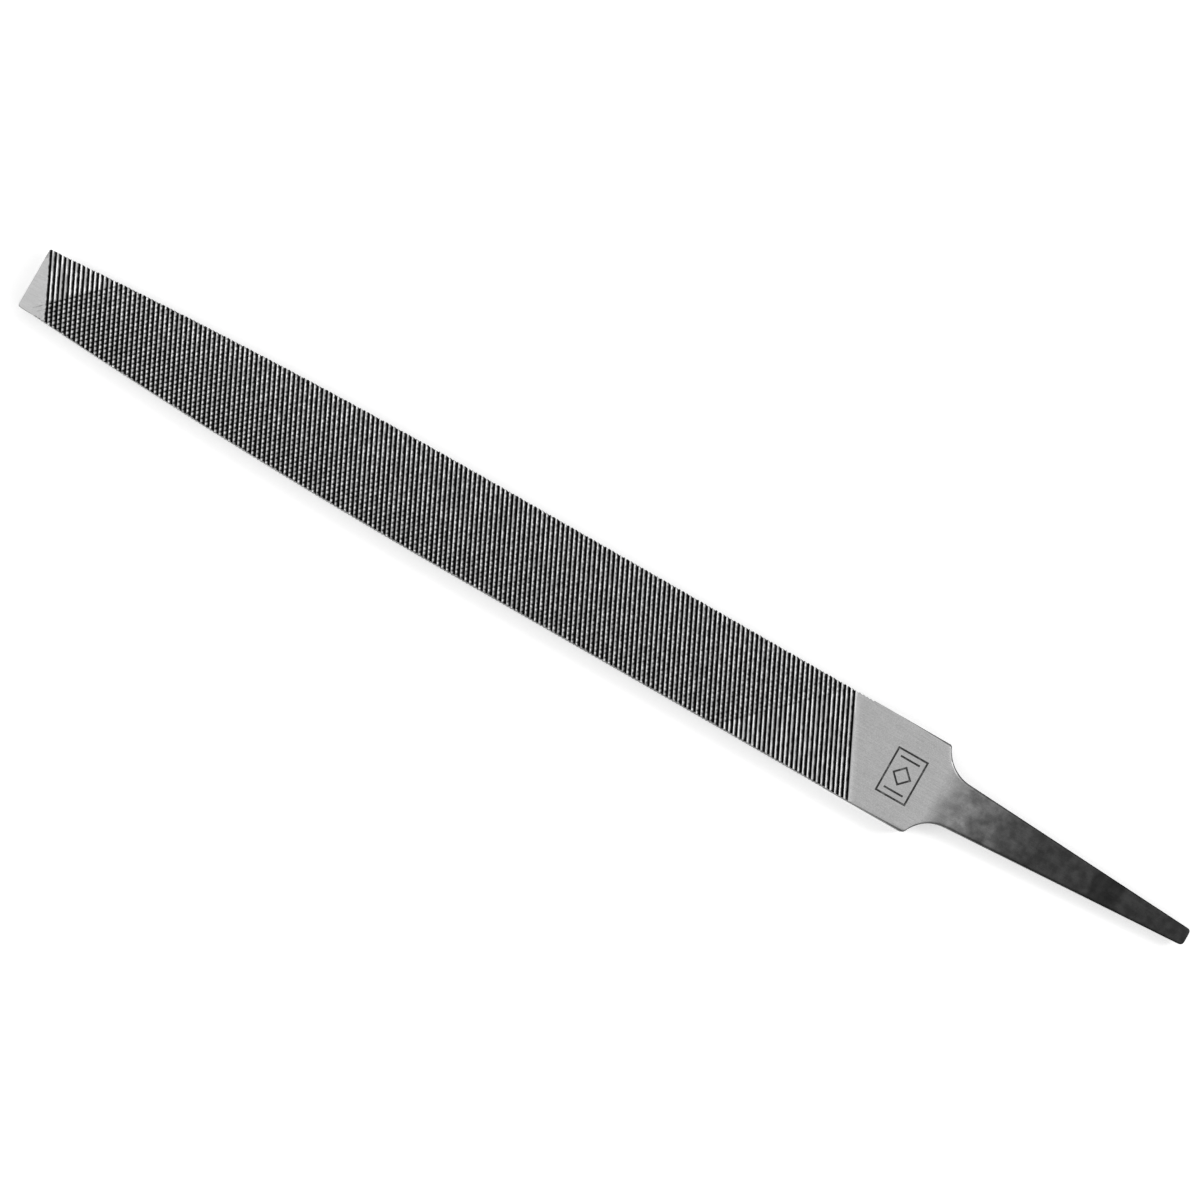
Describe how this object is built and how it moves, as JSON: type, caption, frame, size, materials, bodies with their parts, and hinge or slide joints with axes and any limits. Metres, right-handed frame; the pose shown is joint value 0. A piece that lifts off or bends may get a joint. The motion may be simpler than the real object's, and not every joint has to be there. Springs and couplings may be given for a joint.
{
  "type": "flat file",
  "caption": "Bare flat metalworking file: double-cut faces, single-cut edges, narrowing to a blunt point, with a plain heel and a tapered tang for a handle.",
  "frame": {"origin": "centre of the overall box, on the plane under the lower face's tooth tips", "axes": "+X from the tang to the point, +Y across the width, +Z through the thickness, up out of the upper broad face"},
  "size_m": [0.3286, 0.0248, 0.0063],
  "materials": {
    "file_steel": "bare hardened steel, satin grey on the cut and ground faces, with darker forge scale on the tang"
  },
  "bodies": {
    "root": {"file_body": "file_steel"}
  },
  "joints": []
}
